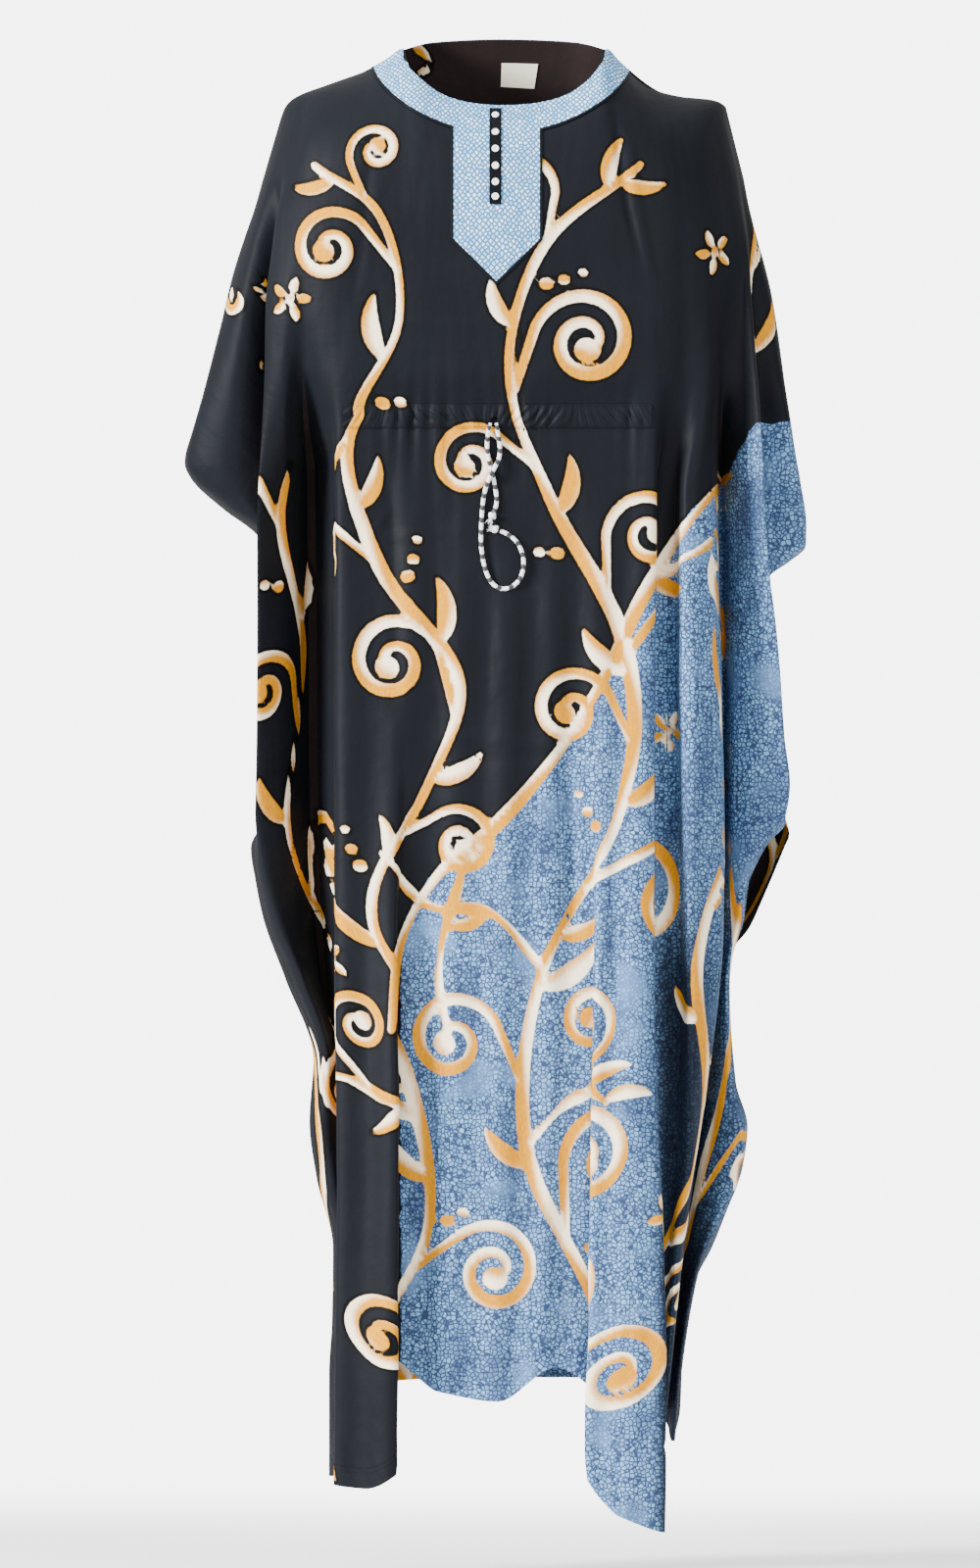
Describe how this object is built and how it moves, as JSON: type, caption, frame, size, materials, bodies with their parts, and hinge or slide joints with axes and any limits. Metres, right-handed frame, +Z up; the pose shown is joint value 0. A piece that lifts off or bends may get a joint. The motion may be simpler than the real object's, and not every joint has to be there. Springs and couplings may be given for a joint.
{
  "type": "kaftan",
  "caption": "Long loose batwing kaftan, hollow as worn, with a banded round neck, pointed yoke, gathered casing and drawstring.",
  "frame": {"origin": "between the shoulders, level with the sides of the neck, where a body or hanger holds it", "axes": "+Z up along the length, +Y from the chest to the back, +X to the wearer's left"},
  "size_m": [0.6366, 0.2624, 1.5249],
  "materials": {
    "black_cloth": "soft matt",
    "blue_cloth": "soft matt",
    "white": "satin"
  },
  "bodies": {
    "root": {"front_panel": "black_cloth", "back_panel": "black_cloth", "neck_band_front": "blue_cloth", "neck_band_back": "blue_cloth", "piping": "black_cloth", "placket": "black_cloth", "button_1": "white", "button_2": "white", "button_3": "white", "button_4": "white", "button_5": "white", "button_6": "white", "casing": "black_cloth", "eyelet": "black_cloth", "drawstring_short": "white", "knot_short": "white", "drawstring_long": "white", "knot_long": "white", "label": "white"}
  },
  "joints": []
}
